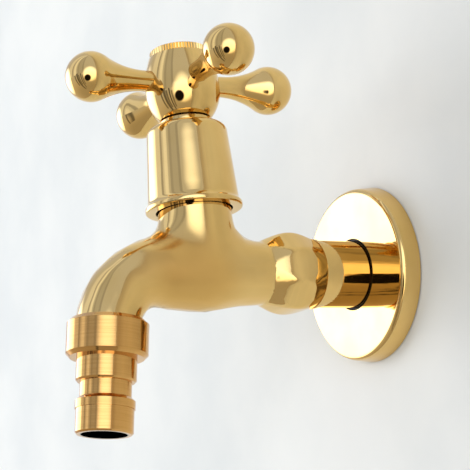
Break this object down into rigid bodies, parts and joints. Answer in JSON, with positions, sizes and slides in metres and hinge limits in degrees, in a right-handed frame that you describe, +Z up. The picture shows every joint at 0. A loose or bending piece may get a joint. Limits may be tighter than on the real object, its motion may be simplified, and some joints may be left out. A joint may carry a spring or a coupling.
{
  "type": "outdoor wall tap",
  "caption": "Polished brass wall bib tap: cast body with spanner flats, bell bonnet, cross handle with ball ends, bent-down spout, stepped hose nozzle and round wall flange.",
  "frame": {"origin": "on the inlet axis in the wall plane, where the flange's rim meets the wall", "axes": "+Y into the wall along the inlet, +Z up along the stem, +X to the right seen from the front"},
  "size_m": [0.0762, 0.1189, 0.1186],
  "materials": {
    "polished_brass": "mirror polished",
    "turned_brass": "fine turned",
    "machined_brass": "as machined",
    "black_rubber": "matt",
    "fibre": "matt",
    "white_ceramic": "lapped",
    "white_plastic": "matt",
    "bright_steel": "bright"
  },
  "bodies": {
    "tap": {"tap_body": "polished_brass", "wall_flange": "polished_brass", "bonnet": "polished_brass", "bonnet_lock_ring": "polished_brass", "hose_nozzle": "turned_brass", "cartridge_housing": "machined_brass", "flange_o_ring": "black_rubber", "nozzle_washer": "black_rubber", "base_seal": "black_rubber", "housing_gasket": "fibre", "fixed_disc": "white_ceramic", "slip_washer": "white_plastic"},
    "handle": {"handle_hub": "polished_brass", "handle_arm_front": "polished_brass", "handle_arm_right": "polished_brass", "handle_arm_rear": "polished_brass", "handle_arm_left": "polished_brass", "index_cap": "polished_brass", "handle_screw": "bright_steel", "spindle": "machined_brass", "spindle_o_rings": "black_rubber", "spindle_clip": "bright_steel", "moving_disc": "white_ceramic"}
  },
  "joints": [
    {"name": "handle_turn", "type": "hinge", "parent": "tap", "child": "handle", "pos_m": [0, -0.0605, 0], "axis": [0, 0, 1], "range_deg": [0, 90]}
  ]
}
